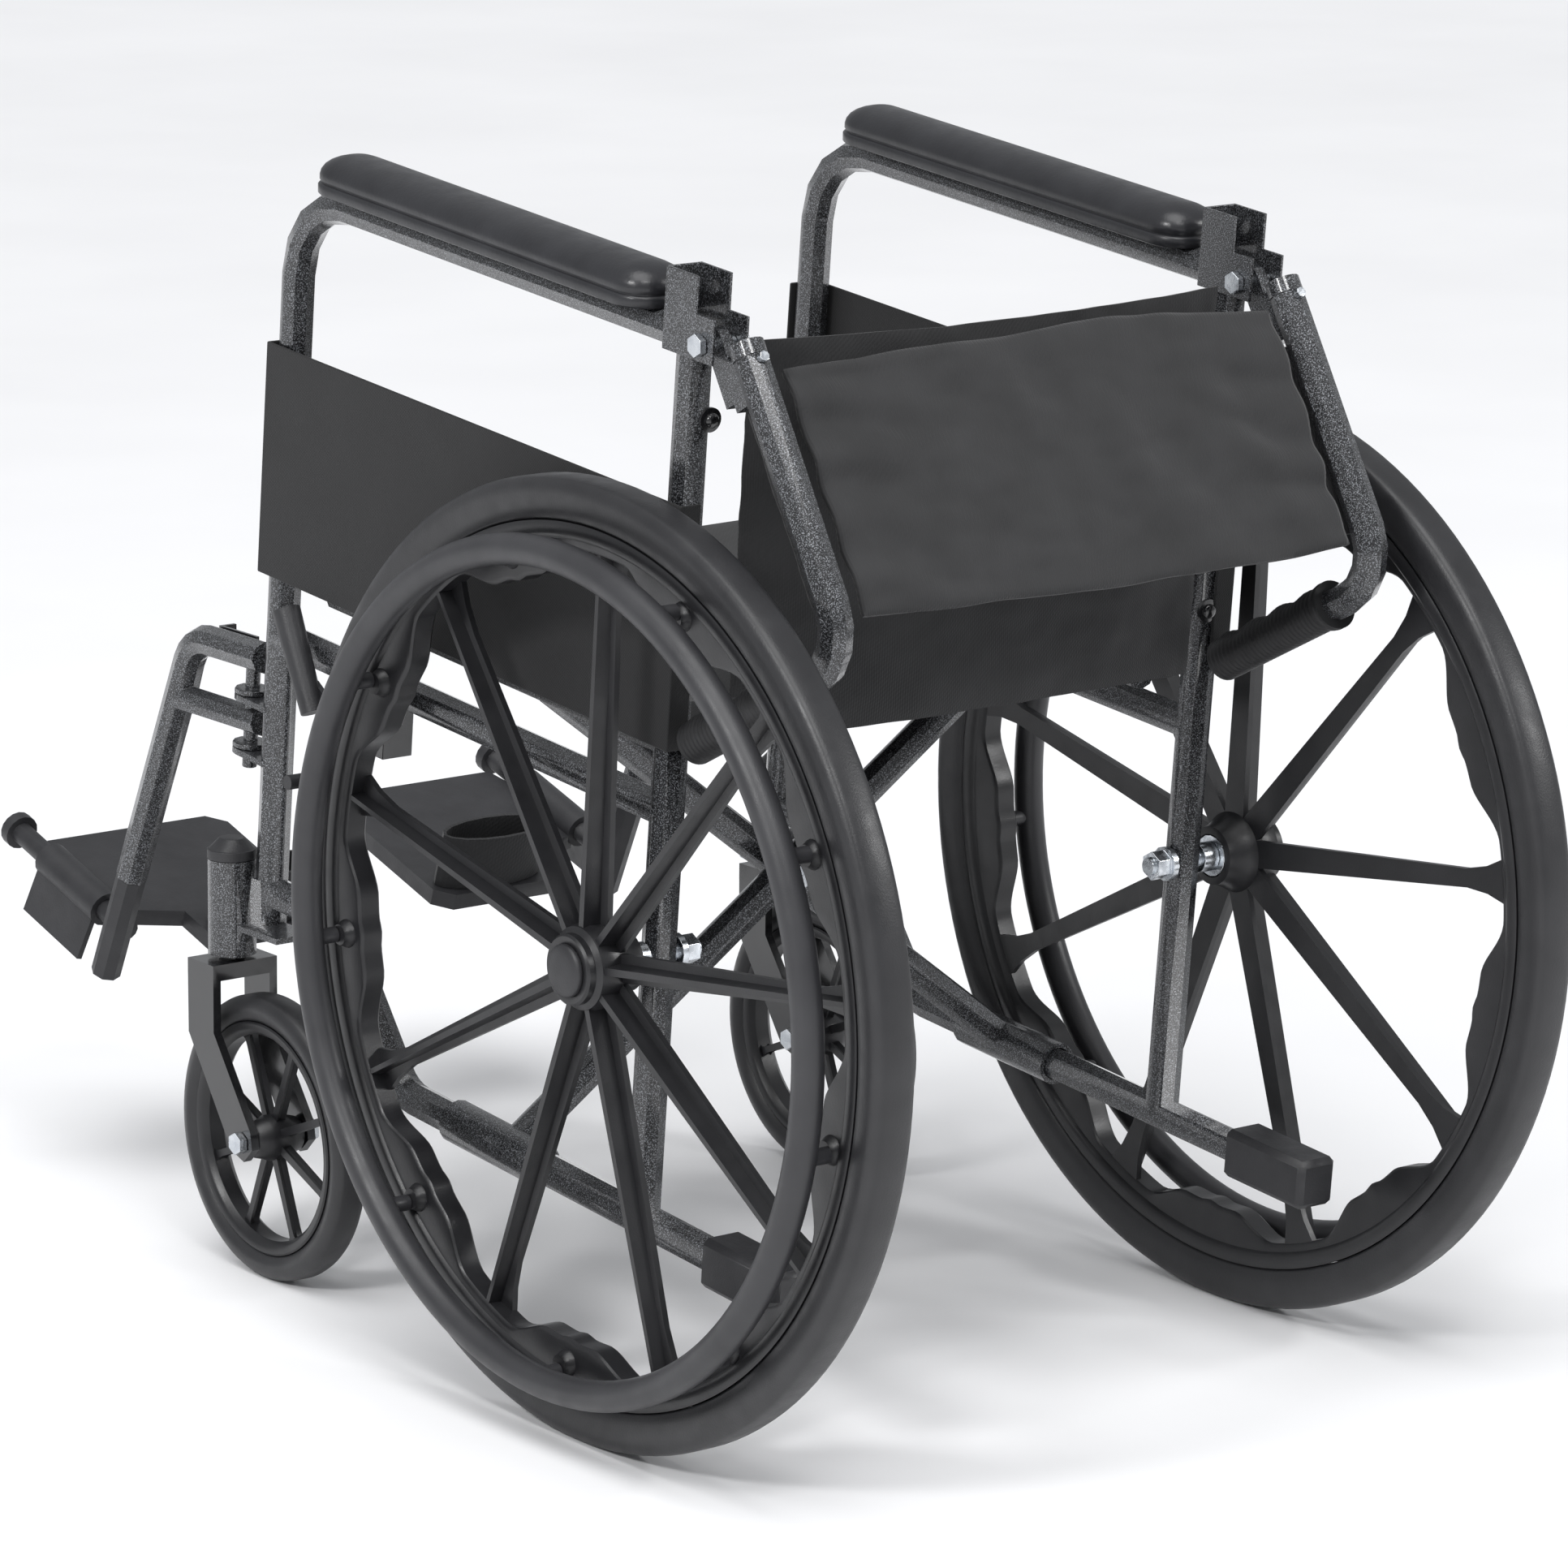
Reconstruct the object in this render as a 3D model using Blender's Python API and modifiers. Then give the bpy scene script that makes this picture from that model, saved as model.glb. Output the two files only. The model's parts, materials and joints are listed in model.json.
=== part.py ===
"""Folding manual wheelchair: a Blender script that models every sub-part as its own closed solid.

The user faces -Y, +X is the user's left and +Z is up. The object stands on z = 0.
The side frames lean back, so their own places are given along the rails (y) and up the posts (h),
measured from the rear axle, and frame_point turns them into world places.
"""

import math

import bmesh
import bpy
from mathutils import Matrix, Vector

# Driving dimensions, in metres and radians
WHEEL_R = 0.305           # rear wheel over the tyre
AXLE_Y = 0.23476          # rear axle's place, so that the object is centred along Y
LEAN = math.radians(4.83)  # how far the posts lean back
GAP = 0.0003              # between pieces that touch

POST_X = 0.2135           # centre of the side frame's tubes
TUBE_R = 0.011
FRONT_POST_Y = -0.427
REAR_POST_Y = 0.0
ARM_H = 0.699
SEAT_SIDE_H = 0.398       # the side frame's upper rail
FOOT_H = 0.222            # the lower rail where it leaves the front post
RAIL_H = 0.130            # the lower rail's long straight run
RAIL_END_Y = 0.135

WHEEL_X = 0.2636
TYRE_HALF = 0.0148
RING_STEPS = 40
SPOKES = 9
SPOKE_TURN = math.radians(7)
HANDRIM_X = 0.2993
HANDRIM_R = 0.2627
HANDRIM_TUBE = 0.0102
STANDOFF_R = 0.2625       # circle of the handrim's fixings
HUB_IN = 0.2380
HUB_OUT = 0.2835
AXLE_R = 0.006

CASTER_X = 0.2316
CASTER_STEM_Y = -0.453
CASTER_AXLE_Y = -0.404
CASTER_R = 0.097
CASTER_HALF = 0.0125
CASTER_STEPS = 24
HOUSING_LOW = 0.2140
HOUSING_TOP = 0.2790
HOUSING_R = 0.0165
STEM_R = 0.009

SEAT_RAIL_X = 0.186
SEAT_RAIL_H = 0.430
CROSS_A_Y = -0.143
CROSS_B_Y = -0.167
SLEEVE_FRONT_Y = -0.203
SLEEVE_REAR_Y = -0.109
SLEEVE_R = 0.0145

BACK_PIVOT_Y = 0.023
BACK_PIVOT_H = 0.700
CANE_FOLD = math.radians(144.3)   # how far the cane turns from hanging to upright
CANE_AXIS = -0.025                # the upright cane, from its pivot
CANE_FOOT = 0.0125
CANE_LENGTH = 0.203
BUTTON_R = 0.0035           # spring button that locks the cane upright
GRIP_DROOP = math.radians(3.5)
GRIP_START = 0.056
GRIP_END = 0.174
GRIP_R = 0.0145

HINGE_Y = -0.4595         # footrest hinge pins, ahead of the front post
HINGE_HEIGHTS = (0.3485, 0.3115)
HINGE_PLATE = 0.004
PIN_R = 0.005
HANGER_TOP_Z = 0.4155
HANGER_CORNER_Y = -0.523
HANGER_END = (-0.606, 0.2327)
EXTENSION_END = (-0.640, 0.158)
BARREL_X = 0.204
BARREL_FOOT = (-0.6255, 0.1893)   # where the footplate's pivot rod leaves its tube
BARREL_TILT = math.radians(17)
BARREL_R = 0.0125
ROD_R = 0.0078

LOCK_PIVOT = (-0.330, 0.395)
LOCK_SHOE = (-0.318, 0.362)
LOCK_X = 0.2288

# Colour, roughness and metallic value of each finish
FINISHES = {
    "frame_paint": ((0.055, 0.056, 0.060), 0.32, 0.55),
    "black_paint": ((0.022, 0.022, 0.024), 0.25, 0.10),
    "wheel_plastic": ((0.050, 0.051, 0.055), 0.45, 0.0),
    "rubber": ((0.048, 0.049, 0.053), 0.55, 0.0),
    "vinyl": ((0.038, 0.039, 0.042), 0.38, 0.0),
    "nylon": ((0.030, 0.030, 0.033), 0.85, 0.0),
    "soft_grip": ((0.035, 0.035, 0.038), 0.60, 0.0),
    "zinc": ((0.62, 0.64, 0.67), 0.30, 1.0),
    "cap_plastic": ((0.060, 0.061, 0.066), 0.50, 0.0),
}


def frame_point(x, y, h):
    """World place of a point of the leaning side frame."""
    rise = h - WHEEL_R
    lean_y = y * math.cos(LEAN) + rise * math.sin(LEAN)
    lean_z = rise * math.cos(LEAN) - y * math.sin(LEAN)
    return Vector((x, AXLE_Y + lean_y, WHEEL_R + lean_z))


def level_point(x, y, z):
    """World place of a point given from the rear axle's ground point."""
    return Vector((x, AXLE_Y + y, z))


FRAME_TURN = Matrix.Rotation(-LEAN, 4, "X")


# Building blocks ------------------------------------------------------------------------------

def new_collection(name):
    made = bpy.data.collections.new(name)
    bpy.context.scene.collection.children.link(made)
    return made


def make_material(name):
    colour, rough, metal = FINISHES[name]
    made = bpy.data.materials.new(name)
    made.use_nodes = True
    shader = made.node_tree.nodes["Principled BSDF"]
    shader.inputs["Base Color"].default_value = (*colour, 1.0)
    shader.inputs["Roughness"].default_value = rough
    shader.inputs["Metallic"].default_value = metal
    made.diffuse_color = (*colour, 1.0)
    return made


def solid_from(mesh):
    made = bpy.data.objects.new("piece", mesh)
    bpy.context.scene.collection.objects.link(made)
    return made


def baked(piece):
    """The piece as plain mesh in world space, with its modifiers and curve turned into faces."""
    bpy.context.view_layer.update()
    graph = bpy.context.evaluated_depsgraph_get()
    mesh = bpy.data.meshes.new_from_object(piece.evaluated_get(graph))
    mesh.transform(piece.matrix_world)
    data = piece.data
    bpy.data.objects.remove(piece)
    if isinstance(data, bpy.types.Curve):
        bpy.data.curves.remove(data)
    shape = bmesh.new()
    shape.from_mesh(mesh)
    bmesh.ops.remove_doubles(shape, verts=shape.verts, dist=1e-5)
    shape.to_mesh(mesh)
    shape.free()
    return solid_from(mesh)


def rod(start, end, radius, sides=12, end_radius=None, turn=0.0):
    """A cylinder or cone between two world points."""
    along = end - start
    shape = bmesh.new()
    far = radius if end_radius is None else end_radius
    bmesh.ops.create_cone(shape, cap_ends=True, segments=sides,
                          radius1=radius, radius2=far, depth=along.length)
    place = Matrix.Translation((start + end) / 2)
    place = place @ along.to_track_quat("Z", "Y").to_matrix().to_4x4()
    shape.transform(place @ Matrix.Rotation(turn, 4, "Z"))
    mesh = bpy.data.meshes.new("rod")
    shape.to_mesh(mesh)
    shape.free()
    return solid_from(mesh)


def box(centre, size, turn=None):
    """A box about a world point, turned by an optional matrix."""
    shape = bmesh.new()
    bmesh.ops.create_cube(shape, size=1.0)
    place = Matrix.Translation(centre)
    if turn is not None:
        place = place @ turn
    shape.transform(place @ Matrix.Diagonal((*size, 1.0)))
    mesh = bpy.data.meshes.new("box")
    shape.to_mesh(mesh)
    shape.free()
    return solid_from(mesh)


def frame_box(x_range, y_range, h_range):
    """A box that lies square to the leaning side frame."""
    middle = [(low + high) / 2 for low, high in (x_range, y_range, h_range)]
    size = [high - low for low, high in (x_range, y_range, h_range)]
    return box(frame_point(*middle), size, FRAME_TURN)


def rounded_path(points, bend_radius, steps=4):
    """The corners of a path replaced by arcs."""
    path = [points[0]]
    for before, corner, after in zip(points, points[1:], points[2:]):
        back = (before - corner).normalized()
        ahead = (after - corner).normalized()
        half = back.angle(ahead) / 2
        reach = bend_radius / math.tan(half)
        middle = corner + (back + ahead).normalized() * bend_radius / math.sin(half)
        first = (corner + back * reach - middle).normalized()
        last = (corner + ahead * reach - middle).normalized()
        for step in range(steps + 1):
            path.append(middle + first.slerp(last, step / steps) * bend_radius)
    path.append(points[-1])
    return path


def tube(points, radius, bend_radius=0.0, steps=4):
    """A round bar bent along world points."""
    path = rounded_path(points, bend_radius, steps) if bend_radius else points
    curve = bpy.data.curves.new("tube", "CURVE")
    curve.dimensions = "3D"
    curve.bevel_depth = radius
    curve.bevel_resolution = 2
    curve.use_fill_caps = True
    spline = curve.splines.new("POLY")
    spline.points.add(len(path) - 1)
    for place, point in zip(path, spline.points):
        point.co = (*place, 1.0)
    made = bpy.data.objects.new("tube", curve)
    bpy.context.scene.collection.objects.link(made)
    return baked(made)


def outline_plate(points, thickness, place):
    """A flat plate from a closed outline, extruded both ways about its plane."""
    curve = bpy.data.curves.new("plate", "CURVE")
    curve.dimensions = "2D"
    curve.fill_mode = "BOTH"
    curve.extrude = thickness / 2
    spline = curve.splines.new("POLY")
    spline.points.add(len(points) - 1)
    for flat, point in zip(points, spline.points):
        point.co = (flat[0], flat[1], 0.0, 1.0)
    spline.use_cyclic_u = True
    made = bpy.data.objects.new("plate", curve)
    bpy.context.scene.collection.objects.link(made)
    made.matrix_world = place
    return baked(made)


def turned_ring(profile, centre, steps):
    """A closed profile of (radius, offset) turned about the X axis, with a flat at the bottom."""
    mesh = bpy.data.meshes.new("ring")
    count = len(profile)
    edges = [(index, (index + 1) % count) for index in range(count)]
    mesh.from_pydata([(radius, 0.0, offset) for radius, offset in profile], edges, [])
    made = solid_from(mesh)
    screw = made.modifiers.new("turn", "SCREW")
    screw.axis = "Z"
    screw.steps = steps
    screw.render_steps = steps
    screw.use_merge_vertices = True
    screw.merge_threshold = 0.0001
    screw.use_normal_calculate = True
    made.matrix_world = (Matrix.Translation(centre) @ Matrix.Rotation(math.pi / 2, 4, "Y")
                         @ Matrix.Rotation(math.pi / steps, 4, "Z"))
    ring = baked(made)
    shape = bmesh.new()
    shape.from_mesh(ring.data)
    bmesh.ops.recalc_face_normals(shape, faces=shape.faces)
    shape.to_mesh(ring.data)
    shape.free()
    return ring


def combined(base, others, operation):
    """The base with each other piece joined to it or cut from it."""
    for other in others:
        step = base.modifiers.new(operation.lower(), "BOOLEAN")
        step.operation = operation
        step.solver = "EXACT"
        step.object = other
    result = baked(base)
    for other in others:
        bpy.data.objects.remove(other)
    return result


def joined(base, *others):
    return combined(base, others, "UNION")


def cut(base, *others):
    return combined(base, others, "DIFFERENCE")


def softened(piece, width, segments=2):
    """The piece with its sharp edges rounded."""
    bevel = piece.modifiers.new("soften", "BEVEL")
    bevel.width = width
    bevel.segments = segments
    bevel.limit_method = "ANGLE"
    return baked(piece)


def bar_x(x_range, y, z, radius, sides=12, turn=0.0):
    """A bar along X, placed by its distance from the rear axle's ground point."""
    return rod(level_point(x_range[0], y, z), level_point(x_range[1], y, z), radius, sides, turn=turn)


def frame_bar_x(x_range, y, h, radius, sides=12):
    return rod(frame_point(x_range[0], y, h), frame_point(x_range[1], y, h), radius, sides)


def frame_bar_h(x, y, h_range, radius, sides=12):
    return rod(frame_point(x, y, h_range[0]), frame_point(x, y, h_range[1]), radius, sides)


def spin_place(angle, radius):
    """Distance back and up from the axle at an angle on a wheel."""
    return radius * math.cos(angle), radius * math.sin(angle)


# Nodes ----------------------------------------------------------------------------------------

PARTS = {}


def add_node(name, piece, finish, origin):
    """Keeps the piece as a named node with its origin on its joint or centre."""
    mesh = piece.data
    bpy.data.objects.remove(piece)
    mesh.transform(Matrix.Translation(-origin))
    mesh.materials.clear()
    mesh.materials.append(MATERIALS[finish])
    for face in mesh.polygons:
        face.use_smooth = True
    mesh.set_sharp_from_angle(angle=math.radians(40))
    mesh.name = name
    made = bpy.data.objects.new(name, mesh)
    made.location = origin
    CHAIR.objects.link(made)
    PARTS[name] = made


def mirrored(mesh):
    """A copy of the mesh for the other side of the chair."""
    copy = mesh.copy()
    copy.transform(Matrix.Scale(-1, 4, Vector((1, 0, 0))))
    copy.flip_normals()
    return copy


def add_pair(name, piece, finish, origin):
    """The left piece and its mirror image."""
    other = solid_from(mirrored(piece.data))
    add_node("left_" + name, piece, finish, origin)
    add_node("right_" + name, other, finish, Vector((-origin.x, origin.y, origin.z)))


AXLE_LEFT = level_point(WHEEL_X, 0.0, WHEEL_R)
STEM_LEFT = level_point(CASTER_X, CASTER_STEM_Y, HOUSING_LOW)
CASTER_LEFT = level_point(CASTER_X, CASTER_AXLE_Y, CASTER_R)
BACK_PIVOT = frame_point(POST_X, BACK_PIVOT_Y, BACK_PIVOT_H)
HINGE_LEFT = frame_point(POST_X, HINGE_Y, HINGE_HEIGHTS[0])
SIDE_ORIGIN = frame_point(POST_X, REAR_POST_Y, RAIL_H)


def build_side_frame():
    front = [frame_point(POST_X, REAR_POST_Y, ARM_H), frame_point(POST_X, FRONT_POST_Y, ARM_H),
             frame_point(POST_X, FRONT_POST_Y, FOOT_H - 0.022)]
    lower = [frame_point(POST_X, FRONT_POST_Y, FOOT_H), frame_point(POST_X, -0.345, FOOT_H),
             frame_point(POST_X, -0.262, RAIL_H), frame_point(POST_X, RAIL_END_Y, RAIL_H)]
    upper = [frame_point(POST_X, y, SEAT_SIDE_H) for y in (FRONT_POST_Y, REAR_POST_Y)]
    rear = [frame_point(POST_X, REAR_POST_Y, h) for h in (RAIL_H, ARM_H)]
    housing = rod(level_point(CASTER_X, CASTER_STEM_Y, HOUSING_LOW),
                  level_point(CASTER_X, CASTER_STEM_Y, HOUSING_TOP), HOUSING_R, 16)
    gusset = box(level_point(CASTER_X - 0.009, CASTER_STEM_Y + 0.026, 0.2345), (0.030, 0.072, 0.004))
    web = box(level_point(CASTER_X - 0.009, CASTER_STEM_Y + 0.013, 0.2500), (0.006, 0.024, 0.034))
    frame = joined(tube(front, TUBE_R, 0.055), tube(lower, TUBE_R, 0.034), tube(upper, TUBE_R),
                   tube(rear, TUBE_R), housing, gusset, web)
    nose = [(0.012 * math.cos(turn), 0.012 * math.sin(turn))
            for turn in (math.pi + index * math.pi / 6 for index in range(7))]
    lug = nose + [(0.012, FRONT_POST_Y - HINGE_Y), (-0.012, FRONT_POST_Y - HINGE_Y)]
    lugs = [outline_plate(lug, HINGE_PLATE, Matrix.Translation(frame_point(POST_X, HINGE_Y, height)) @ FRAME_TURN)
            for height in HINGE_HEIGHTS]
    frame = joined(frame, *lugs)
    holes = [frame_bar_h(POST_X, HINGE_Y, (height - 0.01, height + 0.01), PIN_R + GAP)
             for height in HINGE_HEIGHTS]
    stem = rod(level_point(CASTER_X, CASTER_STEM_Y, HOUSING_LOW - 0.01),
               level_point(CASTER_X, CASTER_STEM_Y, HOUSING_TOP + 0.01), STEM_R + 2 * GAP, 12)
    axle = bar_x((POST_X - 0.03, POST_X + 0.03), 0.0, WHEEL_R, AXLE_R + GAP)
    add_pair("side_frame", cut(frame, stem, axle, *holes), "frame_paint", SIDE_ORIGIN)


def build_side_panel():
    skin = POST_X + TUBE_R + 0.0006
    front = FRONT_POST_Y - TUBE_R - 0.0026
    rear = REAR_POST_Y + TUBE_R + 0.0026
    panel = frame_box((POST_X - 0.010, skin + 0.002), (front, rear), (0.441, 0.597))
    hollow = frame_box((POST_X - 0.030, skin), (front + 0.002, rear - 0.002), (0.400, 0.650))
    rear_trim = frame_box((POST_X - 0.030, POST_X - 0.002), (REAR_POST_Y, rear + 0.010), (0.400, 0.650))
    add_pair("side_panel", cut(panel, hollow, rear_trim), "nylon", frame_point(POST_X, -0.2135, 0.519))


def build_arm_pad():
    low = ARM_H + TUBE_R + GAP
    pad = frame_box((POST_X - 0.025, POST_X + 0.025), (-0.388, -0.030), (low, low + 0.026))
    add_pair("arm_pad", softened(pad, 0.010, 3), "vinyl", frame_point(POST_X, -0.209, low))


def build_back_bracket():
    channel = frame_box((POST_X - 0.0135, POST_X + 0.0135), (-0.0155, 0.0350), (0.6895, 0.7410))
    inside = frame_box((POST_X - 0.0115, POST_X + 0.0115), (-0.0135, 0.0600), (0.6800, 0.7500))
    under_web = frame_box((POST_X - 0.0115, POST_X + 0.0115), (-0.0300, -0.0100), (0.6800, 0.7125))
    notch = frame_box((POST_X - 0.0200, POST_X + 0.0200), (0.0160, 0.0400), (0.7180, 0.7500))
    hole = frame_bar_x((POST_X - 0.03, POST_X + 0.03), BACK_PIVOT_Y, BACK_PIVOT_H, 0.004 + GAP)
    latch_hole = rod(frame_point(POST_X, -0.030, 0.7245), frame_point(POST_X, -0.005, 0.7245), 0.0045)
    bracket = cut(channel, inside, under_web, notch, hole, latch_hole)
    add_pair("back_bracket", bracket, "frame_paint", BACK_PIVOT)


def build_back_pivot_bolt():
    shank = frame_bar_x((POST_X - 0.0170, POST_X + 0.0170), BACK_PIVOT_Y, BACK_PIVOT_H, 0.004)
    head = frame_bar_x((POST_X + 0.0138, POST_X + 0.0188), BACK_PIVOT_Y, BACK_PIVOT_H, 0.0075, 6)
    nut = frame_bar_x((POST_X - 0.0188, POST_X - 0.0138), BACK_PIVOT_Y, BACK_PIVOT_H, 0.0075, 6)
    add_pair("back_pivot_bolt", joined(shank, head, nut), "zinc", BACK_PIVOT)


def build_rear_tip_cap():
    cap = frame_box((POST_X - 0.0155, POST_X + 0.0155), (0.079, 0.157), (0.1140, 0.1470))
    cap = softened(cap, 0.004, 1)
    socket = rod(frame_point(POST_X, 0.070, RAIL_H), frame_point(POST_X, RAIL_END_Y + GAP, RAIL_H),
                 TUBE_R + GAP, 16)
    add_pair("rear_tip_cap", cut(cap, socket), "cap_plastic", frame_point(POST_X, 0.118, RAIL_H))


def build_tyre():
    flat = WHEEL_R / math.cos(math.pi / RING_STEPS)
    profile = [(flat, 0.0095), (flat, -0.0095), (flat - 0.008, -TYRE_HALF), (flat - 0.020, -0.0130),
               (flat - 0.027, -0.0090), (flat - 0.027, 0.0090), (flat - 0.020, 0.0130),
               (flat - 0.008, TYRE_HALF)]
    add_pair("tyre", turned_ring(profile, AXLE_LEFT, RING_STEPS), "rubber", AXLE_LEFT)


def build_wheel():
    outer = WHEEL_R / math.cos(math.pi / RING_STEPS) - 0.027 - GAP
    inner = 0.2480
    rim = turned_ring([(outer, 0.0115), (outer, -0.0115), (inner, -0.0100), (inner, 0.0100)],
                      AXLE_LEFT, RING_STEPS)
    hub = bar_x((HUB_IN, HUB_OUT), 0.0, WHEEL_R, 0.0260, 18)
    extras = [hub]
    for index in range(SPOKES):
        angle = SPOKE_TURN + index * math.tau / SPOKES
        back, up = spin_place(angle, 0.136)
        turn = Matrix.Rotation(angle, 4, "X")
        extras.append(box(level_point(WHEEL_X, back, WHEEL_R + up), (0.016, 0.236, 0.012), turn))
    for index in range(SPOKES):
        angle = SPOKE_TURN + (index + 0.5) * math.tau / SPOKES
        back, up = spin_place(angle, STANDOFF_R)
        lobe = bar_x((WHEEL_X - 0.0095, WHEEL_X + 0.0095), back, WHEEL_R + up, 0.026, 8)
        boss = bar_x((WHEEL_X, HANDRIM_X - 0.0205), back, WHEEL_R + up, 0.009, 6)
        extras += [lobe, boss]
    wheel = joined(rim, *extras)
    outside = turned_ring([(0.4, 0.03), (0.4, -0.03), (outer, -0.03), (outer, 0.03)],
                          AXLE_LEFT, RING_STEPS)
    bore = bar_x((HUB_IN - 0.01, HUB_OUT + 0.01), 0.0, WHEEL_R, AXLE_R + GAP)
    bearing_seat = bar_x((HUB_IN - 0.01, HUB_IN + 0.0093), 0.0, WHEEL_R, 0.0143, 16)
    head_seat = bar_x((0.2750, HUB_OUT + 0.01), 0.0, WHEEL_R, 0.0130, 16)
    add_pair("wheel", cut(wheel, outside, bore, bearing_seat, head_seat), "wheel_plastic", AXLE_LEFT)


def build_handrim():
    profile = [(HANDRIM_R + HANDRIM_TUBE * math.cos(turn), -HANDRIM_TUBE * math.sin(turn))
               for turn in (index * math.tau / 8 for index in range(8))]
    centre = level_point(HANDRIM_X, 0.0, WHEEL_R)
    pegs = []
    for index in range(SPOKES):
        angle = SPOKE_TURN + (index + 0.5) * math.tau / SPOKES
        back, up = spin_place(angle, STANDOFF_R)
        pegs.append(bar_x((HANDRIM_X - 0.0205 + GAP, HANDRIM_X), back, WHEEL_R + up, 0.006, 6))
    add_pair("handrim", joined(turned_ring(profile, centre, RING_STEPS), *pegs), "frame_paint", AXLE_LEFT)


def build_axle():
    shank = bar_x((0.1840, 0.2800), 0.0, WHEEL_R, AXLE_R)
    collar = bar_x((POST_X + TUBE_R + 0.0009, HUB_IN - GAP), 0.0, WHEEL_R, 0.0100)
    head = bar_x((0.2755, 0.2825), 0.0, WHEEL_R, 0.0100, 6)
    washer = bar_x((0.1975, POST_X - TUBE_R - GAP), 0.0, WHEEL_R, 0.0115)
    nut = bar_x((0.1870, 0.1985), 0.0, WHEEL_R, 0.0098, 6)
    add_pair("axle", joined(shank, collar, head, washer, nut), "zinc", AXLE_LEFT)


def build_hub_pieces():
    ring = cut(bar_x((HUB_IN, HUB_IN + 0.0090), 0.0, WHEEL_R, 0.0140, 16),
               bar_x((HUB_IN - 0.01, HUB_IN + 0.02), 0.0, WHEEL_R, AXLE_R + GAP))
    add_pair("wheel_bearing", ring, "zinc", AXLE_LEFT)
    start = level_point(HUB_OUT + GAP, 0.0, WHEEL_R)
    dome = rod(start, start + Vector((0.0050, 0, 0)), 0.0170, 16, end_radius=0.0120)
    add_pair("hub_cap", dome, "cap_plastic", AXLE_LEFT)


def build_caster_fork():
    crown_z = HOUSING_LOW - 0.0085
    crown = box(level_point(CASTER_X, CASTER_STEM_Y, crown_z), (0.051, 0.031, 0.011))
    stem = rod(level_point(CASTER_X, CASTER_STEM_Y, crown_z),
               level_point(CASTER_X, CASTER_STEM_Y, HOUSING_TOP - 0.006), STEM_R, 12)
    outline = [(CASTER_STEM_Y - 0.0155, crown_z), (CASTER_STEM_Y - 0.0150, 0.160),
               (CASTER_AXLE_Y - 0.0130, 0.0890), (CASTER_AXLE_Y + 0.0020, 0.0840),
               (CASTER_AXLE_Y + 0.0120, 0.0940), (CASTER_AXLE_Y + 0.0100, 0.1060),
               (CASTER_STEM_Y + 0.0155, 0.1650), (CASTER_STEM_Y + 0.0155, crown_z)]
    upright = Matrix(((0, 0, 1, 0), (1, 0, 0, 0), (0, 1, 0, 0), (0, 0, 0, 1)))
    legs = []
    for side in (-1, 1):
        place = Matrix.Translation(level_point(CASTER_X + side * 0.0225, 0.0, 0.0)) @ upright
        legs.append(outline_plate(outline, 0.006, place))
    hole = bar_x((CASTER_X - 0.05, CASTER_X + 0.05), CASTER_AXLE_Y, CASTER_R, 0.004 + GAP)
    fork = cut(joined(crown, stem, *legs), hole)
    add_pair("caster_fork", fork, "black_paint", STEM_LEFT)


def build_caster_wheel():
    flat = CASTER_R / math.cos(math.pi / CASTER_STEPS)
    tread = [(flat, 0.0070), (flat, -0.0070), (flat - 0.009, -CASTER_HALF), (flat - 0.018, -0.0105),
             (flat - 0.018, 0.0105), (flat - 0.009, CASTER_HALF)]
    add_pair("caster_tyre", turned_ring(tread, CASTER_LEFT, CASTER_STEPS), "rubber", CASTER_LEFT)
    outer = flat - 0.018 - GAP
    rim = turned_ring([(outer, 0.0100), (outer, -0.0100), (outer - 0.007, -0.0085),
                       (outer - 0.007, 0.0085)], CASTER_LEFT, CASTER_STEPS)
    extras = [bar_x((CASTER_X - 0.0185, CASTER_X + 0.0185), CASTER_AXLE_Y, CASTER_R, 0.0140)]
    for index in range(8):
        angle = (index + 0.5) * math.tau / 8
        back, up = spin_place(angle, 0.0425)
        extras.append(box(level_point(CASTER_X, CASTER_AXLE_Y + back, CASTER_R + up),
                          (0.010, 0.063, 0.006), Matrix.Rotation(angle, 4, "X")))
    hole = bar_x((CASTER_X - 0.05, CASTER_X + 0.05), CASTER_AXLE_Y, CASTER_R, 0.004 + GAP)
    add_pair("caster_wheel", cut(joined(rim, *extras), hole), "wheel_plastic", CASTER_LEFT)
    shank = bar_x((CASTER_X - 0.030, CASTER_X + 0.030), CASTER_AXLE_Y, CASTER_R, 0.004)
    ends = [bar_x((CASTER_X + low, CASTER_X + low + 0.006), CASTER_AXLE_Y, CASTER_R, 0.0078, 6)
            for low in (-0.0318, 0.0258)]
    add_pair("caster_axle", joined(shank, *ends), "zinc", CASTER_LEFT)


def build_housing_cap():
    base = level_point(CASTER_X, CASTER_STEM_Y, HOUSING_TOP + GAP)
    shape = joined(rod(base, base + Vector((0, 0, 0.0065)), 0.0168, 16),
                   rod(base + Vector((0, 0, 0.0060)), base + Vector((0, 0, 0.0138)), 0.0160, 16,
                       end_radius=0.0085))
    add_pair("housing_cap", shape, "cap_plastic", base)


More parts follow.
